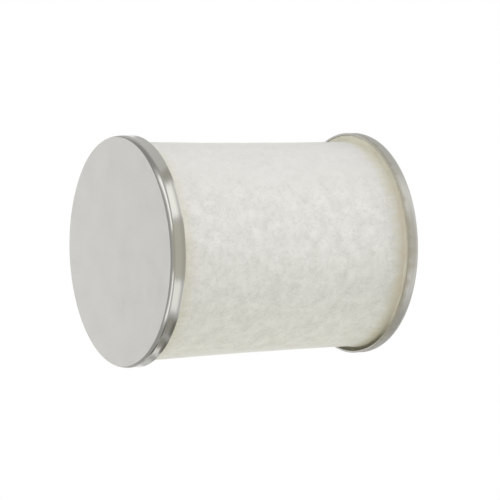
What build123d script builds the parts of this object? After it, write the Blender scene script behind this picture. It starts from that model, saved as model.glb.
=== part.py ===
from build123d import *
from math import cos, radians
import os

# Coalescing element of a compressed air line filter, standing on its closed end as it hangs in the bowl.
# Millimetres, +Z up towards the open end, origin at the centre of the closed cap's flat face.

# overall size
cap_radius = 30.0
element_length = 73.0

# both end caps are pressed from the same sheet, with a rolled crease behind the face
sheet = 0.5
corner_radius = 0.7
crease_width = 0.5
crease_depth = 0.15
closed_skirt = 4.0
open_skirt = 3.2

# collar drawn inwards round the hole of the open cap
collar_bore_radius = 15.5
collar_length = 5.0
collar_lead = 0.6

# flat sealing ring bonded to the open cap
gasket_inner = 18.5
gasket_outer = 24.5
gasket_thickness = 2.0

# layers of the filter pack, from the bore outwards
bore_radius = 17.0
tube_wall = 0.5
fleece_outer = 19.0
media_outer = 24.5

# felt sleeve: a cylinder that is fuller where it beds into the closed cap
felt_closed_end = 28.5
felt_radius = 27.9
felt_taper_top = 6.0

# cast resin that holds the pack in the caps, and creeps up the felt
resin_floor = 1.5
resin_below_lip = 0.4
resin_creep = 0.3

# punched slots: length along the tube, width round it, rows, slots in a row
inner_slot = (17.0, 3.5)
inner_rows = 3
inner_per_row = 8
outer_slot = (27.0, 8.0)
outer_rows = 2
outer_per_row = 5
plain_end = 3.0

# sizes worked out from these
skirt_inner = cap_radius - sheet
collar_outer = collar_bore_radius + sheet
fleece_inner = bore_radius + tube_wall
felt_inner = media_outer + tube_wall
pack_bottom = sheet + resin_floor
pack_top = element_length - pack_bottom
pack_length = pack_top - pack_bottom
closed_creep = closed_skirt - resin_below_lip + resin_creep
felt_slope = (felt_closed_end - felt_radius) / (felt_taper_top - pack_bottom)
felt_at_creep = felt_radius + felt_slope * (felt_taper_top - closed_creep)

os.makedirs("parts", exist_ok=True)


def turned_over(points, top_end):
    """The same outline for the open end, where heights are measured down from the cap's face."""
    return [(radius, element_length - height) for radius, height in points] if top_end else points


def cap_outline(top_end):
    """Section of a cap from its flat face round the skirt to the inside corner."""
    skirt_height = open_skirt if top_end else closed_skirt
    corner_bow = corner_radius * (1 - cos(radians(45)))
    points = [
        (cap_radius - corner_radius, 0),
        (cap_radius - corner_bow, corner_bow),
        (cap_radius, corner_radius),
        (cap_radius - crease_depth, corner_radius + crease_width / 2),
        (cap_radius, corner_radius + crease_width),
        (cap_radius, skirt_height),
        (skirt_inner, skirt_height),
        (skirt_inner, sheet),
    ]
    return turned_over(points, top_end)


def resin_outline(top_end, felt_at_pack, felt_at_creep, inner_radius):
    """Section of the resin: under the pack, and up between the skirt and the felt."""
    resin_depth = (open_skirt if top_end else closed_skirt) - resin_below_lip
    points = [
        (inner_radius, sheet),
        (skirt_inner, sheet),
        (skirt_inner, resin_depth),
        (felt_at_creep, resin_depth + resin_creep),
        (felt_at_pack, pack_bottom),
        (inner_radius, pack_bottom),
    ]
    return turned_over(points, top_end)


def ring_section(inner, outer, base):
    """Flat ring about the axis, at a height above the closed face."""
    with BuildSketch(Plane.XY.offset(base)) as section:
        Circle(outer)
        Circle(inner, mode=Mode.SUBTRACT)
    return section.sketch


def punch_slots(outside, slot, rows, per_row):
    """Square-ended slots in staggered rows, with a plain band at each end of the tube."""
    length, width = slot
    row_pitch = (pack_length - 2 * plain_end) / rows
    slot_turn = 360 / per_row
    outwards = (Align.MIN, Align.CENTER, Align.CENTER)
    for row in range(rows):
        middle = pack_bottom + plain_end + (row + 0.5) * row_pitch
        stagger = (row % 2) * slot_turn / 2
        with Locations((0, 0, middle)):
            with PolarLocations(0, per_row, start_angle=stagger):
                Box(outside + 1, width, length, align=outwards, mode=Mode.SUBTRACT)


# pressed stainless cap of the closed end: a plain disc with a shallow skirt
with BuildPart() as closed_end_cap:
    with BuildSketch(Plane.XZ):
        with BuildLine():
            Polyline((0, 0), *cap_outline(top_end=False), (0, sheet), close=True)
        make_face()
    revolve(axis=Axis.Z)

# pressed cap of the open end: the same skirt, with a collar drawn inwards round the hole
with BuildPart() as open_end_cap:
    with BuildSketch(Plane.XZ):
        with BuildLine():
            collar = [
                (collar_outer, sheet),
                (collar_outer, collar_length),
                (collar_bore_radius, collar_length),
                (collar_bore_radius, collar_lead),
                (collar_bore_radius + collar_lead, 0),
            ]
            Polyline(*cap_outline(top_end=True), *turned_over(collar, top_end=True), close=True)
        make_face()
    revolve(axis=Axis.Z)

# resin cast in the closed cap: a full disc that also floors the bore
with BuildPart() as closed_end_potting:
    with BuildSketch(Plane.XZ):
        with BuildLine():
            Polyline(*resin_outline(False, felt_closed_end, felt_at_creep, inner_radius=0), close=True)
        make_face()
    revolve(axis=Axis.Z)

# resin cast in the open cap, kept out of the bore by the collar
with BuildPart() as open_end_potting:
    with BuildSketch(Plane.XZ):
        with BuildLine():
            Polyline(*resin_outline(True, felt_radius, felt_radius, inner_radius=collar_outer), close=True)
        make_face()
    revolve(axis=Axis.Z)

# flat ring that seals against the filter head
with BuildPart() as sealing_gasket:
    extrude(ring_section(gasket_inner, gasket_outer, element_length), amount=gasket_thickness)

# slotted steel tube that the pack is wound on
with BuildPart() as inner_support_tube:
    extrude(ring_section(bore_radius, fleece_inner, pack_bottom), amount=pack_length)
    punch_slots(fleece_inner, inner_slot, inner_rows, inner_per_row)

# fleece that stops coarse dirt before the fine fibres
with BuildPart() as prefilter_fleece:
    extrude(ring_section(fleece_inner, fleece_outer, pack_bottom), amount=pack_length)

# bonded glass microfibre, which gathers the oil mist into drops
with BuildPart() as coalescing_media:
    extrude(ring_section(fleece_outer, media_outer, pack_bottom), amount=pack_length)

# windowed steel tube that takes the outward push of the air
with BuildPart() as outer_support_tube:
    extrude(ring_section(media_outer, felt_inner, pack_bottom), amount=pack_length)
    punch_slots(felt_inner, outer_slot, outer_rows, outer_per_row)

# needled felt sleeve, which drains the drops down its outside
with BuildPart() as drain_sleeve:
    with BuildSketch(Plane.XZ):
        with BuildLine():
            Polyline(
                (felt_inner, pack_bottom),
                (felt_closed_end, pack_bottom),
                (felt_radius, felt_taper_top),
                (felt_radius, pack_top),
                (felt_inner, pack_top),
                close=True,
            )
        make_face()
    revolve(axis=Axis.Z)

closed_end_cap.part.label = "closed_end_cap"
open_end_cap.part.label = "open_end_cap"
closed_end_potting.part.label = "closed_end_potting"
open_end_potting.part.label = "open_end_potting"
sealing_gasket.part.label = "sealing_gasket"
inner_support_tube.part.label = "inner_support_tube"
prefilter_fleece.part.label = "prefilter_fleece"
coalescing_media.part.label = "coalescing_media"
outer_support_tube.part.label = "outer_support_tube"
drain_sleeve.part.label = "drain_sleeve"

export_step(closed_end_cap.part, "parts/closed_end_cap.step")
export_step(open_end_cap.part, "parts/open_end_cap.step")
export_step(closed_end_potting.part, "parts/closed_end_potting.step")
export_step(open_end_potting.part, "parts/open_end_potting.step")
export_step(sealing_gasket.part, "parts/sealing_gasket.step")
export_step(inner_support_tube.part, "parts/inner_support_tube.step")
export_step(prefilter_fleece.part, "parts/prefilter_fleece.step")
export_step(coalescing_media.part, "parts/coalescing_media.step")
export_step(outer_support_tube.part, "parts/outer_support_tube.step")
export_step(drain_sleeve.part, "parts/drain_sleeve.step")
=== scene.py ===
import bmesh
import bpy
from math import cos, pi, radians, sin
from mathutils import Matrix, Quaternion, Vector, noise


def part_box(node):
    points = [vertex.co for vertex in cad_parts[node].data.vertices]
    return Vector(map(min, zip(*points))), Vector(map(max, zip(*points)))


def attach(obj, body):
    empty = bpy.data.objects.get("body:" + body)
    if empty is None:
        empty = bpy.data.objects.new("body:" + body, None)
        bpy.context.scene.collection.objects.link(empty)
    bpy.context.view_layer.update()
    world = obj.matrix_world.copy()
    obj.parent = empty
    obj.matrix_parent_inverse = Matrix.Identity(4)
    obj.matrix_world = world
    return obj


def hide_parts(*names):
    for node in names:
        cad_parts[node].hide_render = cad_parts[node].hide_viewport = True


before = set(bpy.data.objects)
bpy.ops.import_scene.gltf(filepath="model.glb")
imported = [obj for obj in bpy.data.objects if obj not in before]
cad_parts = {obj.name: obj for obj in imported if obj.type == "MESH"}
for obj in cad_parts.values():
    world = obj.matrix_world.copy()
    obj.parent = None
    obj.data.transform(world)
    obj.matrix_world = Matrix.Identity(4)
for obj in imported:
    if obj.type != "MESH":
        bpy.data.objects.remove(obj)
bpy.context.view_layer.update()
mm = 0.001
tiny = 1e-7                  # metres: two vertices closer than this are one

# helpers for numbers, colours and shader nodes


def fadeIn(value, start, end):
    # 0 up to the start, 1 from the end on, and an even slope in between
    return min(max((value - start) / (end - start), 0), 1)


def linear(hexColour):
    # sRGB hex to the linear values that a shader works in
    channels = [int(hexColour[i:i + 2], 16) / 255 for i in (1, 3, 5)]
    return [c / 12.92 if c <= 0.04045 else ((c + 0.055) / 1.055) ** 2.4 for c in channels] + [1.0]


def addNode(tree, kind, inputs=None, **settings):
    # one node with its settings, and its sockets either linked or set to a value
    made = tree.nodes.new("ShaderNode" + kind)
    for key, value in settings.items():
        setattr(made, key, value)
    for key, value in (inputs or {}).items():
        if isinstance(value, bpy.types.NodeSocket):
            tree.links.new(value, made.inputs[key])
        else:
            made.inputs[key].default_value = value
    return made


def startMaterial(name):
    made = bpy.data.materials.new(name)
    made.use_nodes = True
    made.node_tree.nodes.clear()
    return made, made.node_tree


def closeMaterial(tree, shader):
    addNode(tree, "OutputMaterial", {"Surface": shader.outputs[0]})


def seenAsWhite(tree, glossyMask):
    # 1 for what the camera sees, straight or through glass, and for what metal shows inside the mask
    rays = addNode(tree, "LightPath").outputs
    mirrored = addNode(tree, "Math", {0: rays["Is Glossy Ray"], 1: glossyMask}, operation="MULTIPLY")
    through = addNode(tree, "Math", {0: mirrored.outputs[0], 1: rays["Is Transmission Ray"]},
                      operation="MAXIMUM")
    return addNode(tree, "Math", {0: through.outputs[0], 1: rays["Is Camera Ray"]},
                   operation="MAXIMUM").outputs[0]


# helpers for meshes turned on the element's axis


def spinRound(bm, steps):
    # the outline becomes a closed shell round the axis
    bmesh.ops.spin(bm, geom=bm.verts[:] + bm.edges[:], cent=(0, 0, 0), axis=(0, 0, 1), dvec=(0, 0, 0),
                   angle=2 * pi, steps=steps, use_merge=True, use_duplicate=False)
    bmesh.ops.remove_doubles(bm, verts=bm.verts[:], dist=tiny)
    bmesh.ops.recalc_face_normals(bm, faces=bm.faces[:])


def turned(section, steps, bevelSegments=5):
    # section is a closed outline of (radius, height, rounding) in millimetres
    bm = bmesh.new()
    corners = [bm.verts.new((radius * mm, 0, height * mm)) for radius, height, rounding in section]
    bm.faces.new(corners)
    for corner, (radius, height, rounding) in zip(corners, section):
        if rounding:
            bmesh.ops.bevel(bm, geom=[corner], offset=rounding * mm, segments=bevelSegments, profile=0.5,
                            affect="VERTICES", material=-1)
    bmesh.ops.delete(bm, geom=bm.faces[:], context="FACES_ONLY")
    onAxis = [edge for edge in bm.edges if all(vert.co.x < tiny for vert in edge.verts)]
    bmesh.ops.delete(bm, geom=onAxis, context="EDGES")
    spinRound(bm, steps)
    return bm


def addObject(bm, name):
    mesh = bpy.data.meshes.new(name)
    bm.to_mesh(mesh)
    bm.free()
    made = bpy.data.objects.new(name, mesh)
    bpy.context.collection.objects.link(made)
    return made


def finishPiece(bm, name, material, node, flatFaces=True):
    for face in bm.faces:
        face.smooth = True
    piece = addObject(bm, name)
    piece.data.materials.append(material)
    if flatFaces:
        # the larger faces lead the shading, so that a flat face stays flat beside its rounded edge
        keepFlat = piece.modifiers.new("keepFlat", "WEIGHTED_NORMAL")
        keepFlat.mode = "FACE_AREA"
        keepFlat.weight = 80
    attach(piece, "root")
    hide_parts(node)
    return piece


# sizes that come from the CAD part, in millimetres


def sizeOf(node):
    # outer radius, lowest and highest level of a CAD node
    low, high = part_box(node)
    return high.x / mm, low.z / mm, high.z / mm


capRadius, _, lowLip = sizeOf("closed_end_cap")
_, _, openFace = sizeOf("open_end_cap")
_, _, gasketTop = sizeOf("sealing_gasket")
feltRadius, packBottom, packTop = sizeOf("drain_sleeve")
openSkirt = 3.2              # the open cap's skirt is shallower than the closed cap's
highLip = openFace - openSkirt

# materials: sizes in millimetres, and each Range holds the limits of a Map Range node

steel = {
    "colour": "#D6D5D1",
    "stainColour": "#CBC9C4",
    "grainAcross": 0.12,     # spacing of the rolling lines, coarser than the real 0.02 mm so that they show
    "grainAlong": 12.0,      # their length
    "grainUp": 2.0,          # height over which their pattern changes
    "grainStrength": 0.15,
    "grainDepth": 0.004,
    "cloudSize": 9.0,        # faint clouds where fingers and oil have dulled the sheet
    "cloudRange": {"From Min": 0.35, "From Max": 0.75, "To Max": 0.2},
    "cloudChange": 0.03,     # how far they move the roughness either way
    "filmColour": "#B9AF9B",
    "filmRoughness": 0.6,
    "filmAround": 2.0,       # width and length of the smears of resin on the far skirt
    "filmAlong": 5.0,
    "filmReach": 1.6,        # how far they reach from the lip towards the face
    "filmAtLip": 0.45,       # raises the pattern of smears at the lip
    "filmBeyond": -0.1,      # and lowers it past their reach
    "filmRange": {"From Min": 0.5, "From Max": 0.9, "To Max": 0.6},
}


def steelMaterial(name, roundAxis, roughness, film=False):
    # cold-rolled stainless sheet, pressed: satin, with fine lines that run one way and faint clouds
    material, tree = startMaterial(name)
    place = addNode(tree, "TexCoord").outputs["Object"]
    split = addNode(tree, "SeparateXYZ", {0: place})
    if roundAxis:
        # the lines run round the axis, as a roller leaves them on a skirt or a tube
        angle = addNode(tree, "Math", {0: split.outputs["Y"], 1: split.outputs["X"]}, operation="ARCTAN2")
        across = addNode(tree, "Math", {0: split.outputs["Z"], 1: 1 / (steel["grainAcross"] * mm)},
                         operation="MULTIPLY")
        along = addNode(tree, "Math", {0: angle.outputs[0], 1: capRadius / steel["grainAlong"]},
                        operation="MULTIPLY")
        grainPlace = addNode(tree, "CombineXYZ", {0: along.outputs[0], 1: across.outputs[0]})
    else:
        grainPlace = addNode(tree, "Mapping", {
            "Vector": place,
            "Scale": [1 / (steel[size] * mm) for size in ("grainAlong", "grainAcross", "grainUp")],
        })
    grain = addNode(tree, "TexNoise", {"Vector": grainPlace.outputs[0], "Scale": 1.0, "Detail": 2.0})
    clouds = addNode(tree, "TexNoise", {"Vector": place, "Scale": 1 / (steel["cloudSize"] * mm),
                                        "Detail": 3.0})
    tint = addNode(tree, "MapRange", {"Value": clouds.outputs[0], **steel["cloudRange"]})
    colour = addNode(tree, "Mix", {"Factor": tint.outputs[0], "A": linear(steel["colour"]),
                                   "B": linear(steel["stainColour"])}, data_type="RGBA").outputs["Result"]
    rough = addNode(tree, "MapRange", {"Value": clouds.outputs[0],
                                       "To Min": roughness - steel["cloudChange"],
                                       "To Max": roughness + steel["cloudChange"]}).outputs[0]
    if film:
        # a thin film of resin, wiped up from the lip along the axis when the cap was cleaned
        filmPlace = addNode(tree, "Mapping", {
            "Vector": place,
            "Scale": [1 / (steel[size] * mm) for size in ("filmAround", "filmAround", "filmAlong")],
        })
        wipes = addNode(tree, "TexNoise", {"Vector": filmPlace.outputs[0], "Scale": 1.0, "Detail": 3.0})
        nearLip = addNode(tree, "MapRange", {"Value": split.outputs["Z"], "From Min": highLip * mm,
                                             "From Max": (highLip + steel["filmReach"]) * mm,
                                             "To Min": steel["filmAtLip"], "To Max": steel["filmBeyond"]})
        amount = addNode(tree, "Math", {0: wipes.outputs[0], 1: nearLip.outputs[0]}, operation="ADD")
        shown = addNode(tree, "MapRange", {"Value": amount.outputs[0], **steel["filmRange"]})
        colour = addNode(tree, "Mix", {"Factor": shown.outputs[0], "A": colour,
                                       "B": linear(steel["filmColour"])}, data_type="RGBA").outputs["Result"]
        rough = addNode(tree, "Mix", {"Factor": shown.outputs[0], "A": rough,
                                      "B": steel["filmRoughness"]}).outputs["Result"]
    bump = addNode(tree, "Bump", {"Height": grain.outputs[0], "Strength": steel["grainStrength"],
                                  "Distance": steel["grainDepth"] * mm})
    shader = addNode(tree, "BsdfPrincipled", {
        "Base Color": colour, "Metallic": 1.0, "Roughness": rough, "Normal": bump.outputs[0],
    })
    closeMaterial(tree, shader)
    return material


# what shows at the open end, on the felt and on the cast resin: each Side is the two places across it, in
# cap radii from -1 to 1 along X, between which the thing comes in

openEnd = {
    "glazeColour": "#E4DAC8",    # resin smeared over the last of the felt and the edge of the cast
    "glueColour": "#EBE8D6",     # resin full of fibres
    "paintedShadeColour": "#8C8A72",      # painted shade on the +X side, where the gap between felt and cap lies in shadow
    "smearSize": 3.0,
    "glazeSide": (-0.85, -0.4),
    "glueSide": (-0.95, -0.7),
    "feltShadeSide": (0.4, 0.9),
    "castShadeSide": (0.65, 0.92),
}


def openEndMask(tree, split, fromSide, toSide):
    # 0 at the closed end; at the open end it rises to 1 between two places across it, in cap radii
    side = addNode(tree, "MapRange", {"Value": split.outputs["X"], "From Min": fromSide * capRadius * mm,
                                      "From Max": toSide * capRadius * mm}, interpolation_type="SMOOTHSTEP")
    top = addNode(tree, "Math", {0: split.outputs["Z"], 1: 0.5 * openFace * mm}, operation="GREATER_THAN")
    return addNode(tree, "Math", {0: side.outputs[0], 1: top.outputs[0]}, operation="MULTIPLY").outputs[0]


def smearPattern(tree, place):
    # runs on from the cast to the felt beside it
    smears = addNode(tree, "TexNoise", {"Vector": place, "Scale": 1 / (openEnd["smearSize"] * mm),
                                        "Detail": 3.0})
    return smears.outputs[0]


felt = {
    "colour": "#F5F4F2",
    "thinColour": "#E9E8E5",     # where the fibres lie thin
    "washedOutColour": "#EAE9E7",     # on the -X side, where the key light falls: painted light that evens out the mottling
    "creptResinAndShadeColour": "#DEDBC9",    # where the resin has crept in, and painted shade where the felt meets the caps
    "clumpSize": 3.4,        # clumps of fibres
    "clumpRange": {"From Min": 0.33, "From Max": 0.67},
    "fibreSize": 0.4,        # strands, drawn coarser than the real 0.02 mm so that they show
    "fibreRange": {"From Min": 0.3, "From Max": 0.7, "To Min": 0.97, "To Max": 1.01},
    "speckSize": 1.1,        # thin spots that look darker
    "speckRange": {"From Min": 0.32, "From Max": 0.54, "To Min": 0.91, "To Max": 1.01},
    "washedOutSide": -21.0,       # X up to which the painted light evens out the mottling
    "fullMottleSide": -9.0,       # and from which on it has all its mottling
    "washedOutShare": 0.4,        # share of the mottling and grain that the evened -X side keeps
    "reliefStrength": 0.08,
    "reliefDepth": 0.1,
    "streakAround": 0.9,     # width and length of the fingers in which the resin has crept
    "streakAlong": 9.0,
    "wickHeight": 4.6,       # height over which the crept resin and the painted shade fade out
    "wickRagged": 5.0,       # how uneven the fingers make it
    "wickStart": -2.5,       # sets that height back by what the unevenness takes off
    "wickLow": 0.65,         # how strongly it tints the felt at the closed end and at the open end
    "wickHigh": 0.85,
    "glazeHeight": 3.0,      # the same for the glaze at the open end
    "glazeRagged": 7.0,
    "glazeStart": -4.2,
    "glazeMost": 0.8,
    "paintedShadeHeight": 3.0,        # and for the painted shade beside the open cap's lip, which has an even edge
    "paintedShadeStart": -0.5,
    "paintedShadeMost": 0.4,
}


def feltMaterial():
    # needled polyester felt: matt, mottled where the fibres lie thick or thin, tinted where resin crept in;
    # painted shade beside the caps' lips and on the open end's +X side, and painted light that evens out the
    # mottling on the -X side
    material, tree = startMaterial("needledPolyesterFelt")
    place = addNode(tree, "TexCoord").outputs["Object"]
    split = addNode(tree, "SeparateXYZ", {0: place})
    clumps = addNode(tree, "TexNoise", {"Vector": place, "Scale": 1 / (felt["clumpSize"] * mm), "Detail": 4.0,
                                        "Roughness": 0.6, "Distortion": 0.2})
    fibres = addNode(tree, "TexNoise", {"Vector": place, "Scale": 1 / (felt["fibreSize"] * mm), "Detail": 3.0,
                                        "Roughness": 0.7, "Distortion": 2.5})
    specks = addNode(tree, "TexNoise", {"Vector": place, "Scale": 1 / (felt["speckSize"] * mm), "Detail": 2.0,
                                        "Roughness": 0.6, "Distortion": 1.2})
    thick = addNode(tree, "MapRange", {"Value": clumps.outputs[0], **felt["clumpRange"]})
    mottled = addNode(tree, "Mix", {"Factor": thick.outputs[0], "A": linear(felt["thinColour"]),
                                    "B": linear(felt["colour"])}, data_type="RGBA")
    strand = addNode(tree, "MapRange", {"Value": fibres.outputs[0], **felt["fibreRange"]})
    speck = addNode(tree, "MapRange", {"Value": specks.outputs[0], **felt["speckRange"]})
    fine = addNode(tree, "Math", {0: strand.outputs[0], 1: speck.outputs[0]}, operation="MULTIPLY")
    # painted light: the -X side, where the key light falls, is drawn with less mottling and grain
    rough = addNode(tree, "MapRange", {"Value": split.outputs["X"], "From Min": felt["washedOutSide"] * mm,
                                       "From Max": felt["fullMottleSide"] * mm, "To Min": felt["washedOutShare"]},
                    interpolation_type="SMOOTHSTEP")
    washedOut = addNode(tree, "Mix", {"Factor": rough.outputs[0], "A": linear(felt["washedOutColour"]),
                                   "B": mottled.outputs["Result"]}, data_type="RGBA")
    grained = addNode(tree, "Mix", {"Factor": rough.outputs[0], "A": washedOut.outputs["Result"],
                                    "B": fine.outputs[0]}, data_type="RGBA", blend_type="MULTIPLY")

    # distance to the nearer lip
    height = split.outputs["Z"]
    fromLow = addNode(tree, "Math", {0: height, 1: lowLip * mm}, operation="SUBTRACT")
    fromHigh = addNode(tree, "Math", {0: highLip * mm, 1: height}, operation="SUBTRACT")
    nearer = addNode(tree, "Math", {0: fromLow.outputs[0], 1: fromHigh.outputs[0]}, operation="MINIMUM")

    # resin that has crept along the fibres, in fingers, with painted shade next to the caps' lips mixed in
    strength = addNode(tree, "MapRange", {"Value": height, "From Min": lowLip * mm, "From Max": highLip * mm,
                                          "To Min": felt["wickLow"], "To Max": felt["wickHigh"]})
    streakPlace = addNode(tree, "Mapping", {
        "Vector": place,
        "Scale": [1 / (felt[size] * mm) for size in ("streakAround", "streakAround", "streakAlong")],
    })
    streaks = addNode(tree, "TexNoise", {"Vector": streakPlace.outputs[0], "Scale": 1.0, "Detail": 2.0})
    wickEdge = addNode(tree, "Math", {0: streaks.outputs[0], 1: -felt["wickRagged"] * mm,
                                      2: nearer.outputs[0]}, operation="MULTIPLY_ADD")
    wickAndShade = addNode(tree, "MapRange", {"Value": wickEdge.outputs[0], "From Min": felt["wickStart"] * mm,
                                      "From Max": (felt["wickStart"] + felt["wickHeight"]) * mm,
                                      "To Min": 1.0, "To Max": 0.0}, interpolation_type="SMOOTHSTEP")
    wickAndShade = addNode(tree, "Math", {0: wickAndShade.outputs[0], 1: strength.outputs[0]}, operation="MULTIPLY")
    wickedAndShaded = addNode(tree, "Mix", {"Factor": wickAndShade.outputs[0], "A": grained.outputs["Result"],
                                   "B": linear(felt["creptResinAndShadeColour"])}, data_type="RGBA")

    # glaze at the open end, and painted shade on its +X side
    glazeEdge = addNode(tree, "Math", {0: smearPattern(tree, place), 1: -felt["glazeRagged"] * mm,
                                       2: nearer.outputs[0]}, operation="MULTIPLY_ADD")
    glaze = addNode(tree, "MapRange", {"Value": glazeEdge.outputs[0], "From Min": felt["glazeStart"] * mm,
                                       "From Max": (felt["glazeStart"] + felt["glazeHeight"]) * mm,
                                       "To Min": felt["glazeMost"], "To Max": 0.0},
                    interpolation_type="SMOOTHSTEP")
    glaze = addNode(tree, "Math", {0: glaze.outputs[0], 1: openEndMask(tree, split, *openEnd["glazeSide"])},
                    operation="MULTIPLY")
    glazed = addNode(tree, "Mix", {"Factor": glaze.outputs[0], "A": wickedAndShaded.outputs["Result"],
                                   "B": linear(openEnd["glazeColour"])}, data_type="RGBA")
    # painted shade: on the +X side the felt darkens towards the open cap's lip
    paintedShade = addNode(tree, "MapRange", {"Value": nearer.outputs[0], "From Min": felt["paintedShadeStart"] * mm,
                                     "From Max": felt["paintedShadeHeight"] * mm,
                                     "To Min": felt["paintedShadeMost"], "To Max": 0.0},
                  interpolation_type="SMOOTHSTEP")
    paintedShade = addNode(tree, "Math", {0: paintedShade.outputs[0], 1: openEndMask(tree, split, *openEnd["feltShadeSide"])},
                  operation="MULTIPLY")
    withPaintedShade = addNode(tree, "Mix", {"Factor": paintedShade.outputs[0], "A": glazed.outputs["Result"],
                                  "B": linear(openEnd["paintedShadeColour"])}, data_type="RGBA")
    relief = addNode(tree, "Math", {0: fibres.outputs[0], 1: clumps.outputs[0]}, operation="ADD")
    bump = addNode(tree, "Bump", {"Height": relief.outputs[0], "Strength": felt["reliefStrength"],
                                  "Distance": felt["reliefDepth"] * mm})
    shader = addNode(tree, "BsdfPrincipled", {
        "Base Color": withPaintedShade.outputs["Result"], "Roughness": 0.95, "Sheen Weight": 0.7,
        "Sheen Roughness": 0.3, "Specular IOR Level": 0.2, "Normal": bump.outputs[0],
    })
    closeMaterial(tree, shader)
    return material


resin = {
    "colour": "#FDFAEA",
    "deepColour": "#F4F0D8",
    "rippleSize": 3.0,
    "rippleStrength": 0.4,
    "rippleDepth": 0.15,
    "smearRange": {"From Min": 0.4, "From Max": 0.65, "To Max": 0.7},
}


def resinMaterial():
    # cast polyurethane: cream, slightly waxy, with ripples and fibres frozen at its edge, and painted shade
    # on the +X side of the open cap
    material, tree = startMaterial("castPolyurethane")
    place = addNode(tree, "TexCoord").outputs["Object"]
    split = addNode(tree, "SeparateXYZ", {0: place})
    ripples = addNode(tree, "TexNoise", {"Vector": place, "Scale": 1 / (resin["rippleSize"] * mm),
                                         "Detail": 4.0, "Distortion": 0.8})
    colour = addNode(tree, "Mix", {"Factor": ripples.outputs[0], "A": linear(resin["deepColour"]),
                                   "B": linear(resin["colour"])}, data_type="RGBA")
    glue = openEndMask(tree, split, *openEnd["glueSide"])
    glued = addNode(tree, "Mix", {"Factor": glue, "A": colour.outputs["Result"],
                                  "B": linear(openEnd["glueColour"])}, data_type="RGBA")
    smeared = addNode(tree, "MapRange", {"Value": smearPattern(tree, place), **resin["smearRange"]})
    glaze = addNode(tree, "Math", {0: smeared.outputs[0], 1: glue}, operation="MULTIPLY")
    glazed = addNode(tree, "Mix", {"Factor": glaze.outputs[0], "A": glued.outputs["Result"],
                                   "B": linear(openEnd["glazeColour"])}, data_type="RGBA")
    # painted shade: the resin on the +X side of the open cap is darkened where it lies in shadow
    paintedShade = openEndMask(tree, split, *openEnd["castShadeSide"])
    withPaintedShade = addNode(tree, "Mix", {"Factor": paintedShade, "A": glazed.outputs["Result"],
                                  "B": linear(openEnd["paintedShadeColour"])}, data_type="RGBA")
    bump = addNode(tree, "Bump", {"Height": ripples.outputs[0], "Strength": resin["rippleStrength"],
                                  "Distance": resin["rippleDepth"] * mm})
    shader = addNode(tree, "BsdfPrincipled", {
        "Base Color": withPaintedShade.outputs["Result"], "Roughness": 0.42, "Normal": bump.outputs[0],
    })
    closeMaterial(tree, shader)
    return material


layers = {
    # colour, painted shade colour in the hollows and size of the clumps
    "fleece": ("#EFEFEB", "#C9C9C2", 1.2),
    "glass": ("#F4F4F1", "#DCDCD6", 0.8),
    "reliefStrength": 0.6,
    "reliefDepth": 0.2,
}


def fibreMaterial(name, colourHex, hollowShadeHex, clumpSize):
    # loose or bonded fibres, seen through the slots if at all: matt and cloudy, with painted shade in the
    # hollows
    material, tree = startMaterial(name)
    place = addNode(tree, "TexCoord").outputs["Object"]
    clumps = addNode(tree, "TexNoise", {"Vector": place, "Scale": 1 / (clumpSize * mm), "Detail": 5.0,
                                        "Distortion": 1.5})
    # painted shade: where the clumps dip, the colour goes darker
    colour = addNode(tree, "Mix", {"Factor": clumps.outputs[0], "A": linear(hollowShadeHex),
                                   "B": linear(colourHex)}, data_type="RGBA")
    bump = addNode(tree, "Bump", {"Height": clumps.outputs[0], "Strength": layers["reliefStrength"],
                                  "Distance": layers["reliefDepth"] * mm})
    shader = addNode(tree, "BsdfPrincipled", {"Base Color": colour.outputs["Result"], "Roughness": 1.0,
                                              "Specular IOR Level": 0.1, "Normal": bump.outputs[0]})
    closeMaterial(tree, shader)
    return material


rubber = {
    "colour": "#1C1C1D",
    "bloomColour": "#2E2E2F",
    "bloomSize": 4.0,        # faint grey patches of wax that has come to the surface
    "bloomRange": {"To Min": 0.5, "To Max": 0.75},      # roughness
    "grainSize": 0.15,
    "grainStrength": 0.3,
    "grainDepth": 0.02,
}


def rubberMaterial():
    # die-cut nitrile rubber: black, dull, with a faint bloom and a fine moulded grain
    material, tree = startMaterial("nitrileRubber")
    place = addNode(tree, "TexCoord").outputs["Object"]
    bloom = addNode(tree, "TexNoise", {"Vector": place, "Scale": 1 / (rubber["bloomSize"] * mm),
                                       "Detail": 4.0})
    grain = addNode(tree, "TexNoise", {"Vector": place, "Scale": 1 / (rubber["grainSize"] * mm),
                                       "Detail": 2.0})
    colour = addNode(tree, "Mix", {"Factor": bloom.outputs[0], "A": linear(rubber["colour"]),
                                   "B": linear(rubber["bloomColour"])}, data_type="RGBA")
    rough = addNode(tree, "MapRange", {"Value": bloom.outputs[0], **rubber["bloomRange"]})
    bump = addNode(tree, "Bump", {"Height": grain.outputs[0], "Strength": rubber["grainStrength"],
                                  "Distance": rubber["grainDepth"] * mm})
    shader = addNode(tree, "BsdfPrincipled", {"Base Color": colour.outputs["Result"],
                                              "Roughness": rough.outputs[0], "Normal": bump.outputs[0]})
    closeMaterial(tree, shader)
    return material


faceSteel = steelMaterial("stainlessSheetRolled", roundAxis=False, roughness=0.26)
nearSteel = steelMaterial("stainlessSheetPressed", roundAxis=True, roughness=0.16)
farSteel = steelMaterial("stainlessSheetSmeared", roundAxis=True, roughness=0.42, film=True)
feltCloth = feltMaterial()
castResin = resinMaterial()
print("materials made")

# end caps

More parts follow.
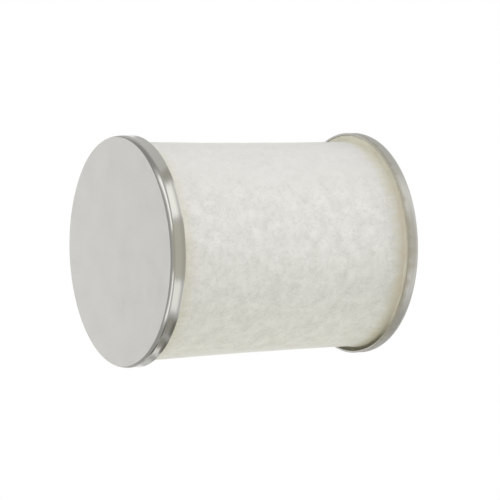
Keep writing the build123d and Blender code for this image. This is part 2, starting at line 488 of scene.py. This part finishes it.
cap = {
    "sheet": 0.5,
    # the corner is a long one: a short arc off the face, a flatter one, and a bead that leans a little
    "cornerIn": 0.34,
    "beadIn": 0.07,
    "beadStart": 0.64,
    "beadEnd": 1.0,
    "creaseStart": 1.2,      # a shallow crease where the die has closed on the sheet
    "creaseEnd": 1.38,
    "creaseDepth": 0.025,
    "waist": 0.09,           # the skirt narrows a little from the crease on, and flares towards its lip
    "flareHeight": 1.0,
    "lipIn": 0.04,           # the lip is a little thicker than the sheet
    "lipHeight": 0.6,
    "insideCorner": 0.3,
    # how far each corner of the section is rounded, from the face to the lip
    "rounding": {"face": 0.15, "beadStart": 0.16, "beadEnd": 0.15, "creaseStart": 0.04, "crease": 0.06,
                 "waist": 0.5, "lip": 0.06, "lipFoot": 0.2},
    "steps": 288,
    "flatNormal": 0.98,      # faces that point this much along the axis belong to the flat face
    # the collar round the open cap's hole
    "collarBore": 15.5,
    "collarLength": 5.0,
    "collarRoot": 0.45,      # how far it is rounded where it leaves the face, inside
    "collarEnd": 0.1,        # at its end
    "collarLead": 0.95,      # and where it leaves the face, outside
}


def skirtSection(skirtHeight):
    # from the face's edge round the skirt to the inside corner, as (radius, distance from the face, rounding)
    inner = capRadius - cap["sheet"]
    rounding = cap["rounding"]
    return [
        (capRadius - cap["cornerIn"], 0, rounding["face"]),
        (capRadius - cap["beadIn"], cap["beadStart"], rounding["beadStart"]),
        (capRadius, cap["beadEnd"], rounding["beadEnd"]),
        (capRadius, cap["creaseStart"], rounding["creaseStart"]),
        (capRadius - cap["creaseDepth"], cap["creaseEnd"], rounding["crease"]),
        (capRadius - cap["waist"], skirtHeight - cap["flareHeight"], rounding["waist"]),
        (capRadius, skirtHeight, rounding["lip"]),
        (inner - cap["lipIn"], skirtHeight, rounding["lip"]),
        (inner, skirtHeight - cap["lipHeight"], rounding["lipFoot"]),
        (inner, cap["sheet"], cap["insideCorner"]),
    ]


def turnedOver(section):
    # at the open end the heights of a section are measured down from the cap's face
    return [(radius, openFace - depth, rounding) for radius, depth, rounding in section]


askew = {
    "slack": 0.6,            # how much longer the corner is on the -X side, as a share
    "deeperSide": (-0.8, -0.6),   # it also starts further in, but not on the outermost part of that side
    "settle": 1.6,           # height behind the bead over which the extra length fades out
    "wallSkin": 0.05,        # vertices past this much of the wall, and those of the face's rim, move
    "rimHeight": 0.2,
    "rimWidth": 1.0,
    "skew": 0.25,            # the lip is higher on the -X side and lower on the +X side
    "lift": 0.08,            # and a little higher all round
    "skewHeights": (2.4, 4.0),    # between these heights the skirt goes over to that
    "skewInside": 0.6,       # the resin goes with it, up to this far inside the felt's foot
}


def skewSkirt(bm):
    # the press has left the closed cap a little out of true: a longer corner on one side, and a lip askew
    for vert in bm.verts:
        height, radius = vert.co.z / mm, vert.co.xy.length / mm
        side = vert.co.x / (capRadius * mm)
        onRim = height < askew["rimHeight"] and radius > capRadius - askew["rimWidth"]
        if onRim or radius > capRadius - cap["sheet"] + askew["wallSkin"]:
            slack = askew["slack"] * max(-side, 0)
            if height < cap["beadEnd"]:
                deeper = slack * fadeIn(side, *askew["deeperSide"])
                vert.co.xy *= (capRadius - (capRadius - radius) * (1 + deeper)) / radius
                vert.co.z *= 1 + slack
            else:
                settled = fadeIn(height, cap["beadEnd"], cap["beadEnd"] + askew["settle"])
                vert.co.z += slack * cap["beadEnd"] * (1 - settled) * mm
        if radius > feltRadius - askew["skewInside"]:
            share = fadeIn(height, *askew["skewHeights"])
            vert.co.z += (askew["lift"] - askew["skew"] * side) * share * mm


def capMaterials(piece, skirtSteel):
    # the flat face keeps its rolling lines, and the skirt has lines round the axis
    piece.data.materials.append(skirtSteel)
    for polygon in piece.data.polygons:
        polygon.material_index = 0 if abs(polygon.normal.z) > cap["flatNormal"] else 1


closedSection = [(0, 0, 0)] + skirtSection(lowLip) + [(0, cap["sheet"], 0)]
closedShell = turned(closedSection, cap["steps"])
skewSkirt(closedShell)
closedCap = finishPiece(closedShell, "closedCap", faceSteel, "closed_end_cap")
capMaterials(closedCap, nearSteel)

collarOutside = cap["collarBore"] + cap["sheet"]
collarSection = [
    (collarOutside, cap["sheet"], cap["collarRoot"]),
    (collarOutside, cap["collarLength"], cap["collarEnd"]),
    (cap["collarBore"], cap["collarLength"], cap["collarEnd"]),
    (cap["collarBore"], 0, cap["collarLead"]),
]
openShell = turned(turnedOver(skirtSection(openSkirt) + collarSection), cap["steps"])
openCap = finishPiece(openShell, "openCap", faceSteel, "open_end_cap")
capMaterials(openCap, farSteel)
print("end caps made")

# felt sleeve

sleeve = {
    "inner": 25.0,
    "innerSkin": 1.0,        # the lumps stop this far from the inside, which stays round
    # height and outside radius: fuller at the closed end, slack in the middle
    "outline": [(4.0, 28.38), (12.0, 28.2), (26.0, 27.95), (50.0, 27.77), (68.0, 27.86), (71.0, 28.1)],
    "lean": (0.12, 0.24),    # how far it sits to the +X side in the closed cap and in the open one
    "crowd": (0.2, -0.4, 0),     # how much further it is pushed over inside the open cap
    "crowdHeights": (67.5, 70.5),    # between which it goes over
    "cell": 0.55,            # size of the mesh's cells
    "lumps": [(6.0, 0.04), (2.2, 0.02), (0.9, 0.01)],   # size and height of the lumps
    "lumpDepths": (1.0, 3.0),    # from its ends, where the resin holds it, the lumps come in between these
    "seed": (3.1, 7.7, 1.3),
}


def leanAt(height):
    # how far the felt's axis has moved at a height in millimetres
    low, high = sleeve["lean"]
    crowd = Vector(sleeve["crowd"]) * fadeIn(height, *sleeve["crowdHeights"])
    return (Vector((low + (high - low) * height / packTop, 0, 0)) + crowd) * mm


def makeSleeve():
    bm = bmesh.new()
    outline = [(packBottom, feltRadius)] + sleeve["outline"]
    profile = [outline[0]]
    for start, end in zip(outline, outline[1:]):
        cuts = round((end[0] - start[0]) / sleeve["cell"])
        profile += [[a + (b - a) * i / cuts for a, b in zip(start, end)] for i in range(1, cuts + 1)]
    wall = [bm.verts.new((radius * mm, 0, height * mm)) for height, radius in profile]
    inside = [bm.verts.new((sleeve["inner"] * mm, 0, height * mm)) for height in (packTop, packBottom)]
    loop = wall + inside
    for low, high in zip(loop, loop[1:] + loop[:1]):
        bm.edges.new((low, high))
    spinRound(bm, round(2 * pi * feltRadius / sleeve["cell"]))
    for vert in bm.verts:
        radius = vert.co.xy.length
        if radius < (sleeve["inner"] + sleeve["innerSkin"]) * mm:
            continue
        spot = vert.co / mm + Vector(sleeve["seed"])
        rise = sum(height * noise.noise(spot / size) for size, height in sleeve["lumps"])
        depth = min(vert.co.z / mm - packBottom, packTop - vert.co.z / mm)
        rise *= fadeIn(depth, *sleeve["lumpDepths"])
        vert.co.x *= 1 + rise * mm / radius
        vert.co.y *= 1 + rise * mm / radius
        vert.co += leanAt(vert.co.z / mm)
    return bm


finishPiece(makeSleeve(), "drainSleeve", feltCloth, "drain_sleeve", flatFaces=False)
print("felt sleeve made")

# cast resin in both caps

potting = {
    "lowDrop": 0.7,          # level of the resin at the skirt, below the lip of the closed cap
    "highDrop": 0.15,        # and of the open cap
    "lowCreep": 0.5,         # how far it has crept up the felt
    "highCreep": 0.25,
    "lowFelt": 28.38,        # the felt's radius where they meet
    "highFelt": 28.0,
    "corner": 0.25,          # rounding against the cap's inside corner
    "clingDepth": 0.4,       # it clings to the skirt from this far below its level
    "cling": (0.1, 0.05),    # up to this far in from the skirt and above its level
    "dip": [(0.3, -0.05), (0.6, 0.0)],      # share of the way from skirt to felt, and how far off its level
    "fillet": [(0.4, 0.1), (0.15, 0.4), (0.04, 1.0)],   # distance from the felt, and share of the creep
    "edge": (0.15, 0.1),     # its edge is hidden this far inside the felt and above the creep
    "footIn": 0.5,           # and under the pack it ends this far inside the felt
    "steps": 240,
    "skin": 0.1,             # vertices this close to its level, or above it, are its surface
    "ragged": 0.2,           # unevenness of that surface
    "raggedSizes": [(2.5, 1.0), (0.9, 0.5)],    # size and share of the lumps in it
    "sink": 0.5,             # how far it has sunk in the open cap on the +X side
    "sinkSide": (0.5, 0.9),      # in cap radii, as below
    "bulge": 0.3,            # and how far it stands up on the -X side
    "bulgeSide": (0.6, 0.9),
    "bulgeIn": 0.8,          # clear of the skirt by this much from the cap's outside
    "leanIn": 1.5,           # what lies between these distances from the felt leans with it
    "leanOut": 0.5,
}


def pottingSection(fill, creep, feltAtLip, innerRadius):
    # under the pack, up the skirt, and from there to the felt, where it ends in a fillet
    inner = capRadius - cap["sheet"]
    gap = inner - feltAtLip
    clingIn, clingUp = potting["cling"]
    edgeIn, edgeUp = potting["edge"]
    return [
        (innerRadius, cap["sheet"], 0),
        (inner, cap["sheet"], potting["corner"]),
        (inner, fill - potting["clingDepth"], 0),
        (inner - clingIn, fill + clingUp, 0),
        *[(inner - gap * share, fill + level, 0) for share, level in potting["dip"]],
        *[(feltAtLip + away, fill + creep * share, 0) for away, share in potting["fillet"]],
        (feltAtLip - edgeIn, fill + creep + edgeUp, 0),
        (feltAtLip - potting["footIn"], packBottom, 0),
        (innerRadius, packBottom, 0),
    ]


def makePotting(section, fill, faceLevel, name, node):
    atClosedEnd = faceLevel < openFace
    bm = turned(section, potting["steps"])
    for vert in bm.verts:
        fromFace = abs(vert.co.z / mm - faceLevel)
        radius = vert.co.xy.length / mm
        if fromFace > fill - potting["skin"]:
            spot = vert.co / mm
            lumps = sum(share * noise.noise(spot / size) for size, share in potting["raggedSizes"])
            push = potting["ragged"] * lumps * mm
            side = vert.co.x / (capRadius * mm)
            sink = potting["sink"] * fadeIn(side, *potting["sinkSide"])
            if radius < capRadius - potting["bulgeIn"]:
                sink -= potting["bulge"] * fadeIn(-side, *potting["bulgeSide"])
            vert.co.z += push if atClosedEnd else sink * mm - push
        if feltRadius - potting["leanIn"] < radius < feltRadius + potting["leanOut"]:
            vert.co += leanAt(vert.co.z / mm)
    if atClosedEnd:
        skewSkirt(bm)
    finishPiece(bm, name, castResin, node)


lowFill = lowLip - potting["lowDrop"]
lowSection = pottingSection(lowFill, potting["lowCreep"], potting["lowFelt"], 0)
makePotting(lowSection, lowFill, 0, "lowPotting", "closed_end_potting")
highFill = openSkirt - potting["highDrop"]
highSection = pottingSection(highFill, potting["highCreep"], potting["highFelt"], collarOutside)
makePotting(turnedOver(highSection), highFill, openFace, "highPotting", "open_end_potting")
print("resin made")

# sealing ring

gasket = {"inner": 18.5, "outer": 24.5, "edge": 0.12, "steps": 220}
gasketSection = [
    (gasket["inner"], openFace, gasket["edge"]), (gasket["outer"], openFace, gasket["edge"]),
    (gasket["outer"], gasketTop, gasket["edge"]), (gasket["inner"], gasketTop, gasket["edge"]),
]
ringShell = turned(gasketSection, gasket["steps"], bevelSegments=3)
finishPiece(ringShell, "sealingRing", rubberMaterial(), "sealing_gasket")
print("sealing ring made")

# carried-over pieces inside the felt

tubeSteel = steelMaterial("stainlessSheetSlotted", roundAxis=True, roughness=0.3)
insidePieces = {
    "inner_support_tube": tubeSteel,
    "outer_support_tube": tubeSteel,
    "prefilter_fleece": fibreMaterial("polyesterFleece", *layers["fleece"]),
    "coalescing_media": fibreMaterial("glassMicrofibre", *layers["glass"]),
}
for nodeName, material in insidePieces.items():
    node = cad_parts[nodeName]
    for slotPlace in node.material_slots:
        slotPlace.material = material
print("inside pieces dressed")

# floor: seen only from above, so that the camera under it looks straight through

floorPaper = {
    "colour": "#FAFAF8",
    "radius": 8000,
    "segments": 64,
    "paperEnd": 120,         # the paper takes the shadow up to here, and past whiteStart it is plain white
    "whiteStart": 600,
}


def makeFloor():
    bm = bmesh.new()
    bmesh.ops.create_circle(bm, cap_ends=True, segments=floorPaper["segments"],
                            radius=floorPaper["radius"] * mm)
    floor = addObject(bm, "floor")
    material, tree = startMaterial("paperFloor")
    place = addNode(tree, "TexCoord").outputs["Object"]
    distance = addNode(tree, "VectorMath", {0: place}, operation="LENGTH")
    far = addNode(tree, "MapRange", {"Value": distance.outputs["Value"],
                                     "From Min": floorPaper["paperEnd"] * mm,
                                     "From Max": floorPaper["whiteStart"] * mm},
                  interpolation_type="SMOOTHSTEP")
    paper = addNode(tree, "BsdfDiffuse", {"Color": linear(floorPaper["colour"])})
    white = addNode(tree, "Emission", {"Color": (1, 1, 1, 1), "Strength": 1.0})
    seen = addNode(tree, "MixShader", {0: far.outputs[0], 1: paper.outputs[0], 2: white.outputs[0]})
    clear = addNode(tree, "BsdfTransparent")
    # metal shows the floor too, but only further out, so that it stays clear of the element's own shadow
    looked = seenAsWhite(tree, far.outputs[0])
    under = addNode(tree, "NewGeometry").outputs["Backfacing"]
    above = addNode(tree, "Math", {0: 1.0, 1: under}, operation="SUBTRACT")
    shown = addNode(tree, "Math", {0: looked, 1: above.outputs[0]}, operation="MULTIPLY")
    shader = addNode(tree, "MixShader", {0: shown.outputs[0], 1: clear.outputs[0], 2: seen.outputs[0]})
    closeMaterial(tree, shader)
    floor.data.materials.append(material)


makeFloor()

# studio: a white backdrop behind the element, and round the rest a pale tent with panels and dark gaps

tent = {
    # brightness of the tent's wall at each elevation in degrees
    "wall": [(-90, 0.36), (-30, 0.38), (-10, 0.52), (10, 0.53), (21, 0.52), (29, 0.6), (42, 0.52), (60, 0.7),
             (90, 0.9)],
    "plain": "#FFFFFB",
    "warm": "#FFFDEE",
    "softEdge": 3.0,
    # each panel is its azimuth from -Y towards +X, half its width, lowest and highest edge, how softly
    # its foot fades, its brightness and its colour
    "panels": [
        (-118, 36, -60, 14, 3, 0.33, "plain"), (116, 40, -60, 8, 3, 0.4, "plain"),
        (-115, 33, 17, 60, 5, 0.61, "plain"), (-79.5, 6.5, 12, 60, 3, 0.42, "warm"),
        (0, 28, -14, 60, 3, 0.48, "warm"), (0, 28, 24, 60, 6, 0.58, "warm"),
        (-46, 27, -14, 2, 3, 1.4, "plain"), (45, 24, -14, 2, 3, 1.3, "plain"),
        (-51, 18.5, 23, 60, 6, 1.22, "plain"), (48, 16.5, 23.5, 60, 6, 1.08, "plain"),
        (125, 4.5, 14, 60, 3, 0.95, "plain"),
        (82, 10.5, 10, 60, 3, 0.15, "warm"), (110, 10.5, 10, 60, 3, 0.13, "warm"),
        (82, 11, 25, 60, 6, 0.36, "warm"), (107.5, 9, 25, 60, 6, 0.32, "warm"),
        (119.5, 4.5, 27, 60, 3, 1.1, "plain"),
        (133.5, 6, 12, 60, 3, 0.44, "plain"), (145, 6, 16, 60, 3, 0.7, "plain"),
    ],
    "backdrop": (180, 21, -33.4, 70, 7),    # placed as a panel is; only metal shows it
}


def panelMask(tree, flat, elevation, azimuth, halfWidth, lowest, highest, foot):
    # 1 in the directions that the panel covers, fading to 0 over its soft edges
    soft = tent["softEdge"]
    middle = (sin(radians(azimuth)), -cos(radians(azimuth)), 0)
    toMiddle = addNode(tree, "VectorMath", {0: flat, 1: middle}, operation="DOT_PRODUCT")
    turn = addNode(tree, "Math", {0: toMiddle.outputs["Value"]}, operation="ARCCOSINE")
    wide = addNode(tree, "MapRange", {"Value": turn.outputs[0], "From Min": radians(halfWidth + soft),
                                      "From Max": radians(halfWidth - soft)}, interpolation_type="SMOOTHSTEP")
    over = addNode(tree, "MapRange", {"Value": elevation, "From Min": radians(lowest - foot),
                                      "From Max": radians(lowest + foot)}, interpolation_type="SMOOTHSTEP")
    under = addNode(tree, "MapRange", {"Value": elevation, "From Min": radians(highest + soft),
                                       "From Max": radians(highest - soft)}, interpolation_type="SMOOTHSTEP")
    tall = addNode(tree, "Math", {0: over.outputs[0], 1: under.outputs[0]}, operation="MULTIPLY")
    return addNode(tree, "Math", {0: wide.outputs[0], 1: tall.outputs[0]}, operation="MULTIPLY").outputs[0]


def makeWorld():
    world = bpy.data.worlds.new("tent")
    world.use_nodes = True
    bpy.context.scene.world = world
    tree = world.node_tree
    tree.nodes.clear()
    direction = addNode(tree, "TexCoord").outputs["Generated"]
    flat = addNode(tree, "VectorMath", {0: direction, 1: (1, 1, 0)}, operation="MULTIPLY")
    flat = addNode(tree, "VectorMath", {0: flat.outputs[0]}, operation="NORMALIZE").outputs[0]
    height = addNode(tree, "SeparateXYZ", {0: direction}).outputs["Z"]
    elevation = addNode(tree, "Math", {0: height}, operation="ARCSINE").outputs[0]
    upTent = addNode(tree, "MapRange", {"Value": elevation, "From Min": -pi / 2, "From Max": pi / 2})
    wall = addNode(tree, "ValToRGB", {0: upTent.outputs[0]})
    stops = wall.color_ramp.elements
    while len(stops) < len(tent["wall"]):
        stops.new(0.5)
    for stop, (angle, grey) in zip(stops, tent["wall"]):
        stop.position = (angle + 90) / 180
        stop.color = (grey, grey, grey, 1.0)
    level = wall.outputs["Color"]
    for *place, brightness, colour in tent["panels"]:
        mask = panelMask(tree, flat, elevation, *place)
        shade = [brightness * channel for channel in linear(tent[colour])]
        level = addNode(tree, "Mix", {"Factor": mask, "A": level, "B": shade},
                        data_type="RGBA").outputs["Result"]
    light = addNode(tree, "Background", {"Color": level, "Strength": 1.0})
    white = addNode(tree, "Background", {"Color": (1, 1, 1, 1), "Strength": 1.0})
    # the camera sees white all round, and metal shows the white backdrop where it stands
    looked = seenAsWhite(tree, panelMask(tree, flat, elevation, *tent["backdrop"]))
    shown = addNode(tree, "MixShader", {0: looked, 1: light.outputs[0], 2: white.outputs[0]})
    addNode(tree, "OutputWorld", {"Surface": shown.outputs[0]})


lamps = {
    "distance": 1.2,         # metres from the middle of the element
    "middle": 37,            # height of that middle
    "watts": 3.2 * pi,       # that a disc one metre away needs for a plain white level of 1
    # azimuth from -Y towards +X, elevation, width in metres, how much of a plain white level the box adds
    # on a surface that faces it, and its colour
    "boxes": {
        "keyBox": (-64, 5, 0.8, 0.265, "#FFFEFF"),
        "fillBox": (70, 0, 0.8, 0.1, "#FFFFDE"),
        "sideBox": (112, 0, 0.8, 0.12, "#FFFFD2"),
        "underBox": (0, -78, 0.6, 0.17, "#FFFFFF"),
        "topBox": (0, 80, 1.0, 0.35, "#FFFFFF"),
        "backBox": (170, 30, 1.0, 0.2, "#FFFFFF"),
    },
}


def addSoftBox(name, azimuth, elevation, size, level, colour):
    turn, tilt = radians(azimuth), radians(elevation)
    away = Vector((sin(turn) * cos(tilt), -cos(turn) * cos(tilt), sin(tilt)))
    lamp = bpy.data.lights.new(name, "AREA")
    lamp.shape = "DISK"
    lamp.size = size
    lamp.color = linear(colour)[:3]
    lamp.energy = level * lamps["watts"] * lamps["distance"] ** 2
    box = bpy.data.objects.new(name, lamp)
    box.location = away * lamps["distance"] + Vector((0, 0, lamps["middle"] * mm))
    box.rotation_mode = "QUATERNION"
    box.rotation_quaternion = away.to_track_quat("Z", "Y")
    box.visible_camera = False
    box.visible_glossy = False
    bpy.context.collection.objects.link(box)


makeWorld()
for boxName, boxValues in lamps["boxes"].items():
    addSoftBox(boxName, *boxValues)

# camera: it looks up at the closed face from the front, turned so that the element's axis lies across

camera = {
    "place": (0, -503.3, -244.9),    # millimetres, as the aim is
    "aim": (0.86, 0, 39.1),
    "roll": 87.75,           # degrees about the line of sight
    "lens": 156.3,
    "sensor": 36,
    "clip": (0.01, 50),      # metres
}


def makeCamera():
    data = bpy.data.cameras.new("camera")
    data.lens = camera["lens"]
    data.sensor_width = camera["sensor"]
    data.clip_start, data.clip_end = camera["clip"]
    eye = bpy.data.objects.new("camera", data)
    place, aim = Vector(camera["place"]) * mm, Vector(camera["aim"]) * mm
    eye.location = place
    look = (aim - place).to_track_quat("-Z", "Y")
    eye.rotation_mode = "QUATERNION"
    eye.rotation_quaternion = look @ Quaternion((0, 0, 1), radians(camera["roll"]))
    bpy.context.collection.objects.link(eye)
    bpy.context.scene.camera = eye


makeCamera()
bpy.context.scene.view_settings.view_transform = "Standard"
print("studio made")
